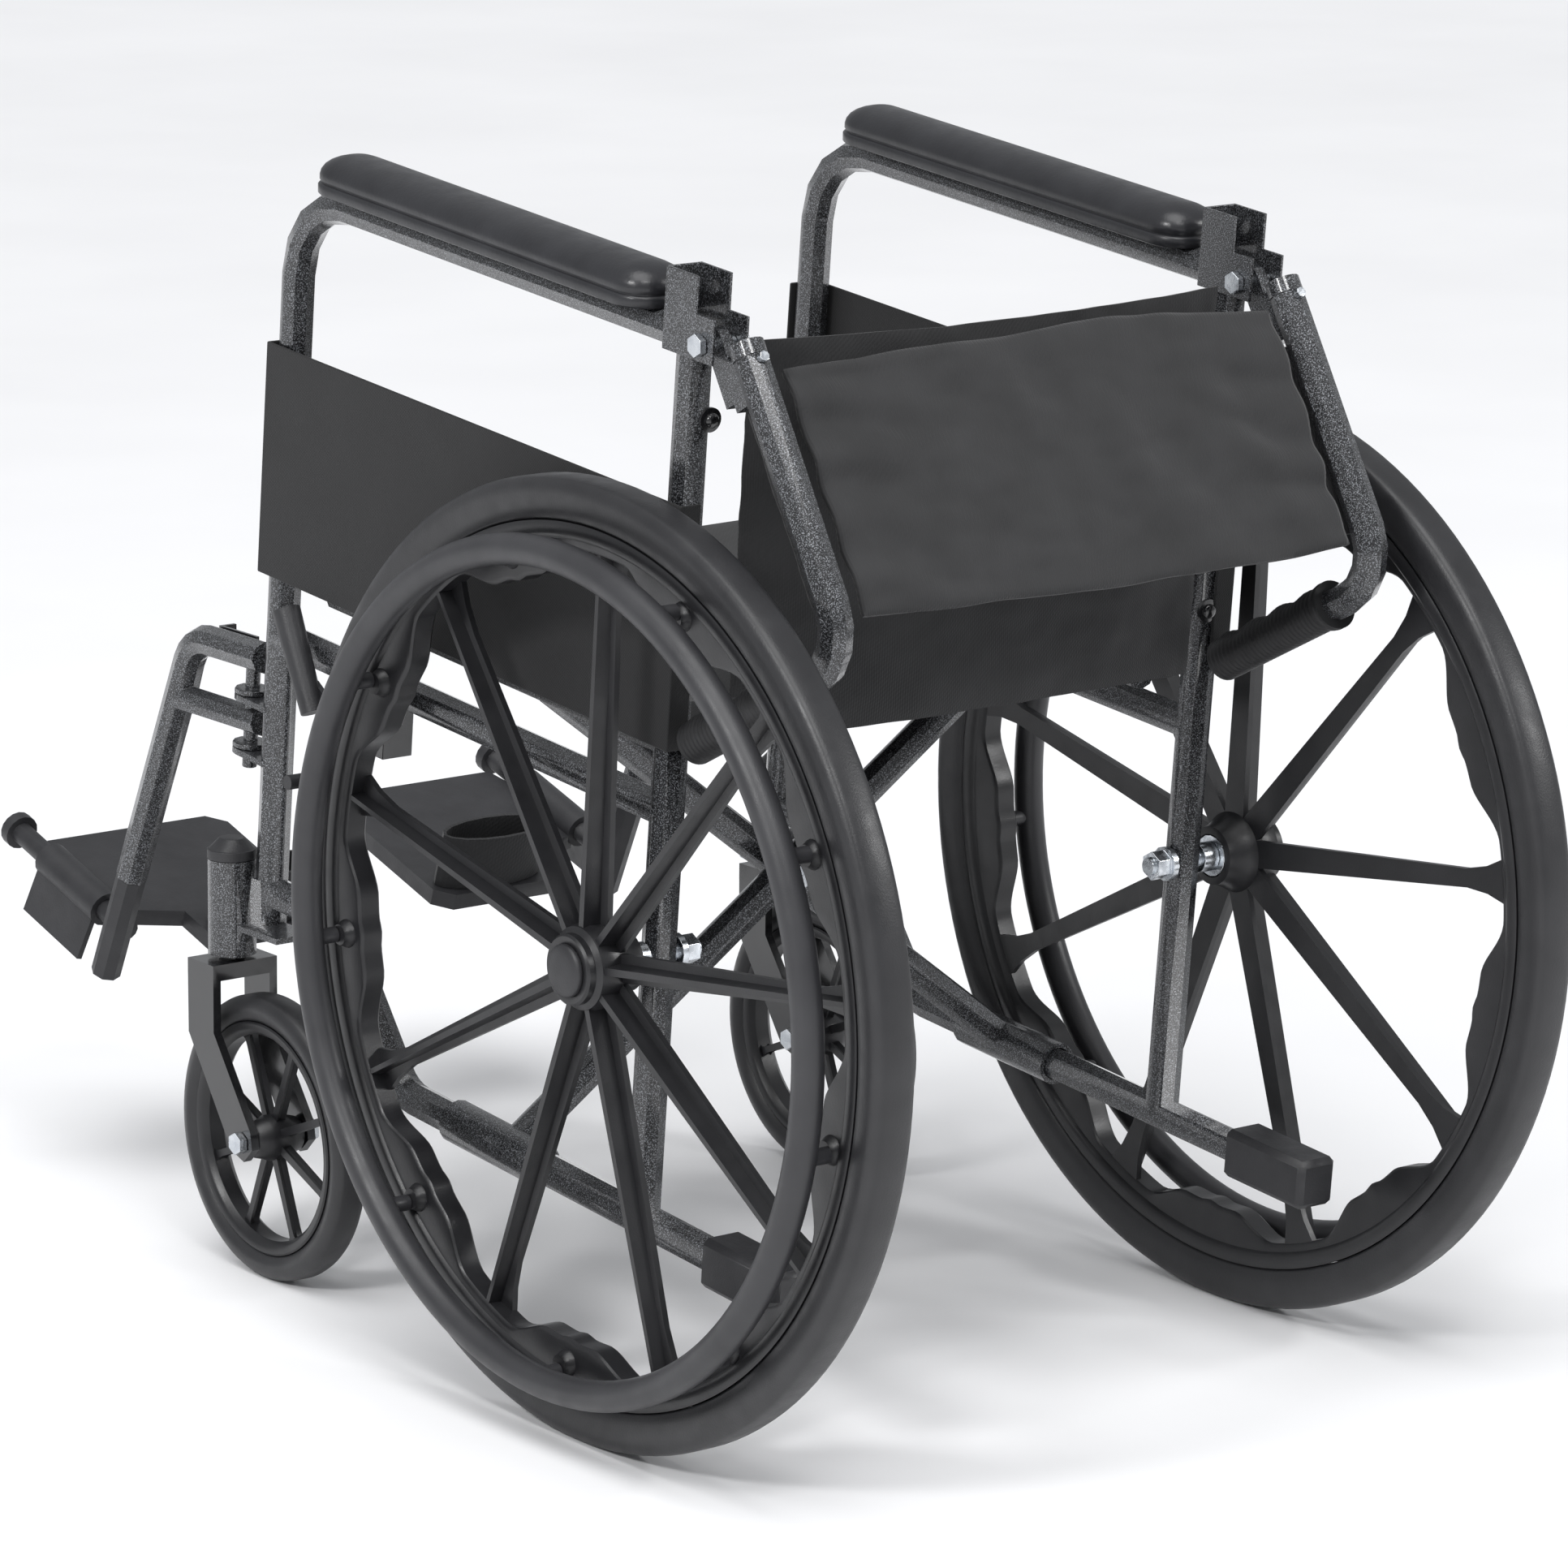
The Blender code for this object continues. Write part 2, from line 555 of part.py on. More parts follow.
def build_footrest_hanger():
    path = [level_point(POST_X, -0.4385, HANGER_TOP_Z),
            level_point(POST_X, HANGER_CORNER_Y, HANGER_TOP_Z), level_point(POST_X, *HANGER_END)]
    brace = [level_point(POST_X, y, 0.371) for y in (-0.4430, -0.5435)]
    pieces = [tube(brace, 0.0095)]
    for height, top in zip(HINGE_HEIGHTS, (0.375, 0.330)):
        plate_top = height + HINGE_PLATE / 2 + GAP
        pieces.append(frame_bar_h(POST_X, HINGE_Y, (height - 0.012, top), PIN_R))
        pieces.append(frame_bar_h(POST_X, HINGE_Y, (plate_top, plate_top + 0.0035), 0.012))
    pieces.append(bar_x((POST_X - 0.0155, POST_X - 0.005), -0.4750, HANGER_TOP_Z, 0.003, 8))
    hanger = joined(tube(path, TUBE_R, 0.030), *pieces)
    add_pair("footrest_hanger", hanger, "frame_paint", HINGE_LEFT)


def build_release_lever():
    pivot = level_point(POST_X - 0.0130, -0.4750, HANGER_TOP_Z)
    blade = box(pivot + Vector((0, -0.014, 0)), (0.0022, 0.044, 0.016))
    tab = box(pivot + Vector((-0.0050, -0.036, 0)), (0.0120, 0.0030, 0.016))
    hole = rod(pivot - Vector((0.02, 0, 0)), pivot + Vector((0.02, 0, 0)), 0.003 + GAP, 8)
    add_pair("release_lever", cut(joined(blade, tab), hole), "black_paint", pivot)


BARREL_TURN = Matrix.Rotation(-BARREL_TILT, 4, "X")


def barrel_point(across, along, above):
    """World place from the footplate's pivot line: across from its x, along it to the front, above it."""
    start = level_point(BARREL_X, *BARREL_FOOT)
    return start + BARREL_TURN @ Vector((across, -along, above))


def build_footplate_tube():
    top = Vector(HANGER_END)
    down = (Vector(EXTENSION_END) - top).normalized()
    start = top + down * GAP
    stem = tube([level_point(POST_X, *start), level_point(POST_X, *EXTENSION_END)], 0.0105)
    pivot = rod(barrel_point(0, 0, 0), barrel_point(0, 0.1470, 0), ROD_R, 12)
    knob = rod(barrel_point(0, 0.1440, 0), barrel_point(0, 0.1520, 0), 0.0125, 16)
    add_pair("footplate_tube", joined(stem, pivot, knob), "cap_plastic", barrel_point(0, 0, 0))


def build_footplate():
    barrel = rod(barrel_point(0, 0.030, 0), barrel_point(0, 0.105, 0), BARREL_R, 16)
    inner = 0.046 - BARREL_X
    notch = -0.0560
    outline = [(inner + 0.012, 0.0220), (notch, 0.0220), (notch, -0.0150), (-0.006, -0.0320),
               (-0.006, -0.1030), (-0.014, -0.1320), (inner + 0.012, -0.1320), (inner, -0.1200),
               (inner, 0.0100)]
    place = Matrix.Translation(barrel_point(0, 0, -0.008)) @ BARREL_TURN
    plate = outline_plate(outline, 0.012, place)
    skirt = box(barrel_point(0.0110, 0.0675, -0.0200), (0.004, 0.073, 0.036),
                BARREL_TURN @ Matrix.Rotation(math.radians(-12), 4, "Y"))
    hole = rod(barrel_point(0, 0.0, 0), barrel_point(0, 0.15, 0), ROD_R + GAP, 12)
    add_pair("footplate", cut(joined(plate, barrel, skirt), hole), "cap_plastic", barrel_point(0, 0, 0))


def build_heel_loop():
    shape = bmesh.new()
    bmesh.ops.create_circle(shape, cap_ends=False, segments=16, radius=1.0)
    ring = bmesh.ops.extrude_edge_only(shape, edges=shape.edges)
    top = [item for item in ring["geom"] if isinstance(item, bmesh.types.BMVert)]
    bmesh.ops.translate(shape, verts=top, vec=(0, 0, 1))
    mesh = bpy.data.meshes.new("loop")
    shape.to_mesh(mesh)
    shape.free()
    mesh.transform(Matrix.Diagonal((0.045, 0.016, 0.040, 1.0)))
    mesh.transform(Matrix.Translation(barrel_point(-0.108, -0.004, -0.0016)) @ BARREL_TURN)
    band = solid_from(mesh)
    wall = band.modifiers.new("wall", "SOLIDIFY")
    wall.thickness = 0.0025
    add_pair("heel_loop", baked(band), "nylon", barrel_point(0, 0, 0))


def build_wheel_lock():
    block = frame_box((POST_X - 0.0080, POST_X + 0.0150), (-0.345, -0.285), (0.354, SEAT_SIDE_H - 0.0113))
    plate = frame_box((POST_X + 0.0114, POST_X + 0.0150), (-0.345, -0.285), (0.354, 0.410))
    boss = bar_x((POST_X + 0.0140, LOCK_X + 0.0075), *LOCK_PIVOT, 0.004)
    add_pair("wheel_lock_base", joined(block, plate, boss), "black_paint", level_point(POST_X, -0.315, 0.39))
    pivot = level_point(LOCK_X + 0.0021, *LOCK_PIVOT)
    shoe = level_point(LOCK_X + 0.0021, *LOCK_SHOE)
    elbow = level_point(LOCK_X + 0.0021, -0.352, 0.409)
    tip = level_point(LOCK_X + 0.0085, -0.378, 0.462)
    pieces = [rod(pivot - Vector((0.0018, 0, 0)), pivot + Vector((0.0018, 0, 0)), 0.010)]
    for start, end in ((pivot, shoe), (pivot, elbow)):
        along = end - start
        turn = Matrix.Rotation(math.atan2(along.z, along.y), 4, "X")
        pieces.append(box((start + end) / 2, (0.0036, along.length + 0.010, 0.014), turn))
    pieces.append(bar_x((LOCK_X + 0.0003, 0.2770), *LOCK_SHOE, 0.005, 10))
    grip = rod(level_point(LOCK_X + 0.0085, -0.347, 0.398), tip, 0.0080, 12, end_radius=0.0095)
    hole = rod(pivot - Vector((0.02, 0, 0)), pivot + Vector((0.006, 0, 0)), 0.004 + GAP)
    lever = cut(joined(grip, *pieces), hole)
    add_pair("wheel_lock_lever", lever, "soft_grip", level_point(LOCK_X, *LOCK_PIVOT))


def cane_point(across, y, h):
    """World place of a point of the folded cane, given from its pivot as if it stood upright."""
    fold = -CANE_FOLD
    hang_y = y * math.cos(fold) - h * math.sin(fold)
    hang_h = y * math.sin(fold) + h * math.cos(fold)
    return frame_point(POST_X + across, BACK_PIVOT_Y + hang_y, BACK_PIVOT_H + hang_h)


def grip_point(along, across=0.0):
    corner_h = CANE_FOOT + CANE_LENGTH
    return cane_point(across, CANE_AXIS + along * math.cos(GRIP_DROOP), corner_h - along * math.sin(GRIP_DROOP))


CANE_TURN = FRAME_TURN @ Matrix.Rotation(-CANE_FOLD, 4, "X")


def build_back_cane():
    path = [cane_point(0, CANE_AXIS, CANE_FOOT), grip_point(0), grip_point(GRIP_END - 0.012)]
    lug = box(cane_point(0, -0.0110, 0.0310), (0.008, 0.020, 0.030), CANE_TURN)
    arm = box(cane_point(0, -0.0010, 0.0200), (0.008, 0.017, 0.040), CANE_TURN)
    eye = rod(cane_point(-0.004, 0, 0), cane_point(0.004, 0, 0), 0.0095)
    cap = rod(cane_point(0, CANE_AXIS, CANE_FOOT - 0.0015), cane_point(0, CANE_AXIS, CANE_FOOT + 0.008),
              0.0112, 16)
    cane = joined(tube(path, TUBE_R, 0.034), lug, arm, eye, cap)
    hole = rod(cane_point(-0.02, 0, 0), cane_point(0.02, 0, 0), 0.004 + GAP)
    button_h = CANE_FOOT + 0.012
    pocket = rod(cane_point(0, CANE_AXIS - 0.0010, button_h), cane_point(0, CANE_AXIS - 0.0200, button_h),
                 BUTTON_R + GAP, 8)
    add_pair("back_cane", cut(cane, hole, pocket), "frame_paint", BACK_PIVOT)
    inner_end = cane_point(0, CANE_AXIS - 0.0040, button_h)
    button = rod(inner_end, cane_point(0, CANE_AXIS - 0.0145, button_h), BUTTON_R, 8)
    add_pair("cane_button", button, "zinc", inner_end)


def build_push_grip():
    grip = rod(grip_point(GRIP_START), grip_point(GRIP_END), GRIP_R, 12)
    collar = rod(grip_point(GRIP_START - 0.004), grip_point(GRIP_START + 0.006), 0.0165, 12)
    bore = rod(grip_point(GRIP_START - 0.02), grip_point(GRIP_END - 0.012 + GAP), TUBE_R + GAP, 16)
    add_pair("push_grip", cut(joined(grip, collar), bore), "soft_grip", grip_point(GRIP_START))


def build_cross_tube(name, side, y):
    """A cross tube that turns on one lower rail and carries the other side's seat rail."""
    foot = frame_point(side * POST_X, y, RAIL_H)
    top = frame_point(-side * SEAT_RAIL_X, y, SEAT_RAIL_H)
    sleeve_ends = [frame_point(side * POST_X, place, RAIL_H) for place in (SLEEVE_FRONT_Y, SLEEVE_REAR_Y)]
    rail_ends = [frame_point(-side * SEAT_RAIL_X, place, SEAT_RAIL_H) for place in (-0.404, -0.023)]
    middle_h = RAIL_H + (SEAT_RAIL_H - RAIL_H) * POST_X / (POST_X + SEAT_RAIL_X)
    shape = joined(tube([foot, top], TUBE_R), rod(*sleeve_ends, SLEEVE_R, 16), tube(rail_ends, TUBE_R))
    past_ends = [frame_point(side * POST_X, place, RAIL_H)
                 for place in (SLEEVE_FRONT_Y - 0.01, SLEEVE_REAR_Y + 0.01)]
    bolt_ends = [frame_point(0, place, middle_h) for place in (y - 0.03, y + 0.03)]
    cut_shape = cut(shape, rod(*past_ends, TUBE_R + GAP, 16), rod(*bolt_ends, 0.005 + GAP))
    add_node(name, cut_shape, "frame_paint", frame_point(side * POST_X, -0.155, RAIL_H))
    return middle_h


def build_cross_brace():
    middle_h = build_cross_tube("cross_tube_a", 1, CROSS_A_Y)
    build_cross_tube("cross_tube_b", -1, CROSS_B_Y)
    front = CROSS_B_Y - TUBE_R - GAP
    rear = CROSS_A_Y + TUBE_R + GAP
    shank = rod(frame_point(0, front - 0.008, middle_h), frame_point(0, rear + 0.004, middle_h), 0.005)
    head = rod(frame_point(0, rear, middle_h), frame_point(0, rear + 0.007, middle_h), 0.0095, 6)
    nut = rod(frame_point(0, front - 0.008, middle_h), frame_point(0, front, middle_h), 0.0095, 6)
    add_node("cross_bolt", joined(shank, head, nut), "zinc", frame_point(0, -0.155, middle_h))


def build_upholstery():
    low = SEAT_RAIL_H + TUBE_R + GAP
    seat = frame_box((-SEAT_RAIL_X - 0.011, SEAT_RAIL_X + 0.011), (-0.404, -0.023), (low, low + 0.005))
    add_node("seat_upholstery", seat, "nylon", frame_point(0, -0.2135, low))
    bow = [(-0.190, 0.016), (-0.110, 0.046), (0.0, 0.058), (0.110, 0.046), (0.190, 0.016)]
    outline = bow + [(x * 0.985, y - 0.004) for x, y in reversed(bow)]
    place = Matrix.Translation(frame_point(0, 0, 0.520)) @ FRAME_TURN
    add_node("back_lower", outline_plate(outline, 0.160, place), "nylon", frame_point(0, 0, 0.520))
    flap_y = CANE_AXIS - 0.001
    flap = box(cane_point(-POST_X, flap_y, CANE_FOOT + 0.110), (0.388, 0.010, 0.160), CANE_TURN)
    add_node("back_upper", flap, "nylon", Vector((0.0, BACK_PIVOT.y, BACK_PIVOT.z)))


for old in list(bpy.data.objects):
    bpy.data.objects.remove(old)
MATERIALS = {name: make_material(name) for name in FINISHES}
CHAIR = new_collection("wheelchair")

build_side_frame()
build_side_panel()
build_arm_pad()
build_back_bracket()
build_back_pivot_bolt()
build_rear_tip_cap()
build_tyre()
build_wheel()
build_handrim()
build_axle()
build_hub_pieces()
build_caster_fork()
build_caster_wheel()
build_housing_cap()
build_footrest_hanger()
build_release_lever()
build_footplate_tube()
build_footplate()
build_heel_loop()
build_wheel_lock()
build_back_cane()
build_push_grip()
build_cross_brace()
build_upholstery()
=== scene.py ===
import json
import math

import bmesh
import bpy
from mathutils import Matrix, Vector, noise


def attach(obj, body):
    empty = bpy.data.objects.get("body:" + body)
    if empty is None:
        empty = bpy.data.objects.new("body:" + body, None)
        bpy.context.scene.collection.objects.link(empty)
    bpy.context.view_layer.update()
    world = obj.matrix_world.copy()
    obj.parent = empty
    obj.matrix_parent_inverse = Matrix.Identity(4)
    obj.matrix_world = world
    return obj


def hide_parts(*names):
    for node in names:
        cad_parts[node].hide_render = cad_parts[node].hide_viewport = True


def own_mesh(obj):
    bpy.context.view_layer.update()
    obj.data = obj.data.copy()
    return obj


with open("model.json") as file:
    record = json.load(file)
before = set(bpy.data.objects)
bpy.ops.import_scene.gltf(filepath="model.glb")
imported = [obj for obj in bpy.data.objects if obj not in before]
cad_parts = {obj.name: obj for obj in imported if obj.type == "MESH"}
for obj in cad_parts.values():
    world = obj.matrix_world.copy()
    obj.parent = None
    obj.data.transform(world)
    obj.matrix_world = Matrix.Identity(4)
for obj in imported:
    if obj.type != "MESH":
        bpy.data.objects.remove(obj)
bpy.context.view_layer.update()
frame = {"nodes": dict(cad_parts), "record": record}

SIDES = (("left", 1), ("right", -1))

# The chair's own places, in metres and radians
WHEEL_R = 0.305
AXLE_Y = 0.23476
LEAN = math.radians(4.83)
POST_X = 0.2135
WHEEL_X = 0.2636
SPOKES = 9
SPOKE_TURN = math.radians(7)
STANDOFF_R = 0.2625
HANDRIM_X = 0.2993
HANDRIM_R = 0.2627
HUB_IN = 0.2380
HUB_OUT = 0.2835
CASTER_X = 0.2316
CASTER_AXLE_Y = -0.404
CASTER_R = 0.097
CASTER_SPOKES = 8
ARM_H = 0.699
SEAT_RAIL_X = 0.186
SEAT_RAIL_H = 0.430
BACK_PIVOT = (0.023, 0.700)
CANE_FOLD = math.radians(144.3)
CANE_AXIS = -0.025
CANE_FOOT = 0.0125
CANE_LENGTH = 0.203
GRIP_DROOP = math.radians(3.5)
RIM_INNER_R = 0.2610
HANDRIM_TUBE_R = 0.0100
BACKWARD = Vector((0, 1, 0))

# Most of a noise texture's values lie between these two
NOISE_LOW = 0.3
NOISE_HIGH = 0.7

# The wave texture's scale that gives one band a metre
ONE_BAND = 0.314


def frame_point(x, y, h):
    """World place of a point given along and up the leaning frame, from the rear axle and the floor."""
    rise = h - WHEEL_R
    return Vector((x, AXLE_Y + y * math.cos(LEAN) + rise * math.sin(LEAN),
                   WHEEL_R + rise * math.cos(LEAN) - y * math.sin(LEAN)))


def cane_point(x, y, h):
    """World place of a point of the folded back, given from its pivot as if it stood upright."""
    cos, sin = math.cos(-CANE_FOLD), math.sin(-CANE_FOLD)
    return frame_point(x, BACK_PIVOT[0] + y * cos - h * sin, BACK_PIVOT[1] + y * sin + h * cos)


def smooth_step(value, low, high):
    value = min(1.0, max(0.0, (value - low) / (high - low)))
    return value * value * (3 - 2 * value)


# Materials

class Shade:
    """A Principled material with a few texture helpers."""

    def __init__(self, name, color, roughness, metallic=0.0, coat=0.0, sheen=0.0):
        self.material = bpy.data.materials.new(name)
        self.material.use_nodes = True
        self.nodes = self.material.node_tree.nodes
        self.links = self.material.node_tree.links
        self.shader = self.nodes["Principled BSDF"]
        self.shader.inputs["Base Color"].default_value = (*color, 1)
        self.shader.inputs["Roughness"].default_value = roughness
        self.shader.inputs["Metallic"].default_value = metallic
        self.shader.inputs["Coat Weight"].default_value = coat
        self.shader.inputs["Coat Roughness"].default_value = 0.12
        self.shader.inputs["Sheen Weight"].default_value = sheen
        self.shader.inputs["Sheen Roughness"].default_value = 0.45
        self.coordinates = self.nodes.new("ShaderNodeTexCoord").outputs["Object"]

    def grain(self, scale, detail=3.0):
        node = self.nodes.new("ShaderNodeTexNoise")
        node.inputs["Scale"].default_value = scale
        node.inputs["Detail"].default_value = detail
        self.links.new(self.coordinates, node.inputs["Vector"])
        return node.outputs["Fac"]

    def ramp(self, source, stops):
        node = self.nodes.new("ShaderNodeValToRGB")
        elements = node.color_ramp.elements
        while len(elements) < len(stops):
            elements.new(0.5)
        for element, (place, color) in zip(elements, stops):
            element.position = place
            element.color = (*color, 1)
        self.links.new(source, node.inputs["Fac"])
        return node.outputs["Color"]

    def paint(self, source, dark, light, low=NOISE_LOW, high=NOISE_HIGH):
        self.links.new(self.ramp(source, [(low, dark), (high, light)]), self.shader.inputs["Base Color"])

    def vary(self, source, socket, low, high):
        node = self.nodes.new("ShaderNodeMapRange")
        node.inputs["From Min"].default_value = NOISE_LOW
        node.inputs["From Max"].default_value = NOISE_HIGH
        node.inputs["To Min"].default_value = low
        node.inputs["To Max"].default_value = high
        self.links.new(source, node.inputs["Value"])
        self.links.new(node.outputs["Result"], self.shader.inputs[socket])

    def bump(self, source, strength, distance):
        node = self.nodes.new("ShaderNodeBump")
        node.inputs["Strength"].default_value = strength
        node.inputs["Distance"].default_value = distance
        self.links.new(source, node.inputs["Height"])
        self.links.new(node.outputs["Normal"], self.shader.inputs["Normal"])

    def weave(self, pitch):
        """Threads that cross on a diagonal, as twill does."""
        waves = []
        for direction in ("X", "DIAGONAL"):
            node = self.nodes.new("ShaderNodeTexWave")
            node.bands_direction = direction
            node.inputs["Scale"].default_value = ONE_BAND / pitch
            node.inputs["Distortion"].default_value = 0.6
            self.links.new(self.coordinates, node.inputs["Vector"])
            waves.append(node.outputs["Fac"])
        both = self.nodes.new("ShaderNodeMath")
        both.operation = "ADD"
        for index, wave in enumerate(waves):
            self.links.new(wave, both.inputs[index])
        return both.outputs["Value"]


def fleck_paint():
    shade = Shade("frame_paint", (0.05, 0.05, 0.05), 0.30, metallic=0.45, coat=0.9)
    flecks = shade.grain(1250.0, 2.0)
    shade.paint(flecks, (0.006, 0.006, 0.007), (0.26, 0.27, 0.29), 0.50, 0.70)
    shade.vary(shade.grain(60.0), "Roughness", 0.24, 0.38)
    shade.bump(flecks, 0.5, 0.0006)
    return shade.material


def plain(name, dark, light, rough, scale, bump_scale, strength, **kinds):
    """A moulded or painted finish: slow colour variation, uneven gloss and a fine surface grain."""
    shade = Shade(name, light, rough, **kinds)
    shade.paint(shade.grain(scale), dark, light)
    shade.vary(shade.grain(scale * 3.1), "Roughness", rough - 0.05, rough + 0.07)
    shade.bump(shade.grain(bump_scale, 4.0), strength, 0.0004)
    return shade.material


def cloth_shade(name, dark, light, pitch):
    shade = Shade(name, light, 0.78, sheen=0.12)
    shade.paint(shade.grain(26.0, 5.0), dark, light, 0.25, 0.75)
    shade.bump(shade.weave(pitch), 0.35, 0.0003)
    return shade.material


def zinc_shade():
    shade = Shade("zinc", (0.62, 0.65, 0.69), 0.24, metallic=1.0)
    shade.paint(shade.grain(90.0), (0.50, 0.53, 0.57), (0.74, 0.77, 0.80))
    shade.vary(shade.grain(240.0), "Roughness", 0.16, 0.36)
    shade.bump(shade.grain(700.0), 0.15, 0.0002)
    return shade.material


LOOKS = {
    "frame_paint": fleck_paint(),
    "black_paint": plain("black_paint", (0.005, 0.005, 0.006), (0.009, 0.009, 0.010),
                         0.20, 40, 300, 0.10, coat=0.6),
    "wheel_plastic": plain("wheel_plastic", (0.0080, 0.0080, 0.0092), (0.0135, 0.0135, 0.0152),
                           0.36, 18, 900, 0.22),
    "rubber": plain("rubber", (0.0125, 0.0125, 0.0140), (0.0200, 0.0200, 0.0220), 0.40, 22, 800, 0.30),
    "handrim": plain("handrim", (0.021, 0.021, 0.0235), (0.031, 0.031, 0.034), 0.42, 20, 1100, 0.25),
    "vinyl": plain("vinyl", (0.0130, 0.0132, 0.0155), (0.0200, 0.0205, 0.0235), 0.33, 30, 420, 0.35),
    "nylon": cloth_shade("nylon", (0.0085, 0.0085, 0.0092), (0.0165, 0.0165, 0.0178), 0.0016),
    "panel": cloth_shade("panel", (0.0045, 0.0045, 0.0050), (0.0075, 0.0075, 0.0082), 0.0011),
    "webbing": cloth_shade("webbing", (0.007, 0.007, 0.008), (0.016, 0.016, 0.0172), 0.0026),
    "soft_grip": plain("soft_grip", (0.0065, 0.0065, 0.0072), (0.0120, 0.0120, 0.0130),
                       0.55, 30, 700, 0.40),
    "zinc": zinc_shade(),
    "cap_plastic": plain("cap_plastic", (0.0150, 0.0150, 0.0170), (0.0240, 0.0240, 0.0265),
                         0.46, 30, 800, 0.35),
}


# Shape helpers

def piece(name, mesh, look, body, angle):
    """Puts a mesh in the scene as a piece that rides on a body, smooth up to an angle in degrees."""
    mesh.validate()
    shape = bmesh.new()
    shape.from_mesh(mesh)
    bmesh.ops.recalc_face_normals(shape, faces=shape.faces)
    shape.to_mesh(mesh)
    shape.free()
    obj = bpy.data.objects.new(name, mesh)
    bpy.context.scene.collection.objects.link(obj)
    mesh.materials.clear()
    mesh.materials.append(LOOKS[look])
    mesh.shade_smooth()
    mesh.set_sharp_from_angle(angle=math.radians(angle))
    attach(obj, body)
    return obj


def mesh_from(points, faces):
    mesh = bpy.data.meshes.new("shape")
    mesh.from_pydata([tuple(point) for point in points], [], faces)
    return mesh


def grid_faces(rows, columns, wrap_rows=False, wrap_columns=False):
    faces = []
    for row in range(rows if wrap_rows else rows - 1):
        for column in range(columns if wrap_columns else columns - 1):
            after, beside = (row + 1) % rows, (column + 1) % columns
            faces.append((row * columns + column, row * columns + beside,
                          after * columns + beside, after * columns + column))
    return faces


def spun(profile_at, steps, centre):
    """A ring about the X axis. profile_at(angle) gives (radius, x offset) pairs."""
    points, count = [], 0
    for step in range(steps):
        angle = step * math.tau / steps
        profile = profile_at(angle)
        count = len(profile)
        points += [centre + Vector((x, radius * math.cos(angle), radius * math.sin(angle)))
                   for radius, x in profile]
    return mesh_from(points, grid_faces(steps, count, wrap_rows=True, wrap_columns=True))


def along(start, end, profile_at, steps, sides, side_way=Vector((1, 0, 0))):
    """A closed bar from start to end. profile_at(share, angle) gives its radius."""
    axis = (end - start).normalized()
    out = side_way - axis * side_way.dot(axis)
    out.normalize()
    up = axis.cross(out)
    points = []
    for step in range(steps):
        share = step / (steps - 1)
        for side in range(sides):
            angle = side * math.tau / sides
            outward = out * math.cos(angle) + up * math.sin(angle)
            points.append(start.lerp(end, share) + outward * profile_at(share, angle))
    faces = grid_faces(steps, sides, wrap_columns=True)
    faces += [tuple(range(sides)), tuple((steps - 1) * sides + side for side in range(sides))]
    return mesh_from(points, faces)


def merged(meshes):
    shape = bmesh.new()
    for mesh in meshes:
        shape.from_mesh(mesh)
    result = bpy.data.meshes.new("merged")
    shape.to_mesh(result)
    shape.free()
    return result


def prism(outline, start, end, to_world):
    """A solid between two like outlines, one at each end of a run."""
    count = len(outline(0.0))
    rows = 14
    points = [to_world(start + (end - start) * row / (rows - 1), *pair)
              for row in range(rows) for pair in outline(row / (rows - 1))]
    faces = grid_faces(rows, count, wrap_columns=True)
    faces += [tuple(range(count)), tuple((rows - 1) * count + index for index in range(count))]
    return mesh_from(points, faces)


def rounded(obj, width):
    bevel = obj.modifiers.new("edge", "BEVEL")
    bevel.width = width
    bevel.segments = 2
    bevel.limit_method = "ANGLE"
    bevel.angle_limit = math.radians(40)
    bevel.harden_normals = True


# Wheels

def mirrored(half):
    """A whole section, from the half on one side of the wheel's middle plane."""
    return half + [(radius, -x) for radius, x in reversed(half)]


def tyre_profile(radius, half, depth, flat_half):
    """A tyre's section, from its tread round to its seat on the rim."""
    tread_step, shoulder = 0.0006, 0.010
    section = [(radius, 0.0), (radius, flat_half * 0.8), (radius - tread_step, flat_half)]
    for step in range(1, 7):
        turn = step * math.pi / 12
        section.append((radius - tread_step - shoulder * (1 - math.cos(turn)),
                        flat_half + (half - flat_half) * math.sin(turn)))
    section += [(radius - depth * 0.70, half - 0.0010), (radius - depth * 0.93, half - 0.0030),
                (radius - depth, half - 0.0046)]
    return section + [(r, -x) for r, x in reversed(section[1:])]


def rim_inner(angle):
    """The rim's scalloped inner edge: cut back by each spoke, and reaching in where a handrim fixing sits."""
    lobe_reach, nub_reach = 0.0175, 0.0020
    pitch = math.tau / SPOKES
    off = abs((angle - SPOKE_TURN + pitch / 2) % pitch - pitch / 2)
    lobe = lobe_reach * smooth_step(off, math.radians(5.5), math.radians(14.5))
    nub = nub_reach * smooth_step(off, math.radians(17.5), math.radians(20.0))
    return RIM_INNER_R - lobe - nub


def spoke_place(centre, angle, side=1):
    """Gives the function that turns (out along a spoke, across it, along the axle) into a world place."""
    radial = Vector((0, math.cos(angle), math.sin(angle)))
    across = Vector((0, -math.sin(angle), math.cos(angle)))

    def place(distance, wide, deep):
        return centre + radial * distance + across * wide + Vector((side * deep, 0, 0))

    return place


def fixing_angles():
    """The handrim's fixings sit midway between the spokes."""
    return [SPOKE_TURN + (index + 0.5) * math.tau / SPOKES for index in range(SPOKES)]


def moulded_rim(centre):
    def section(angle):
        inner = rim_inner(angle)
        return mirrored([(0.2775, 0.0112), (0.2755, 0.0122), (0.2700, 0.0122), (0.2680, 0.0112),
                         (0.2665, 0.0092), (inner + 0.0030, 0.0085), (inner + 0.0012, 0.0080),
                         (inner, 0.0066)])

    return spun(section, 360, centre)


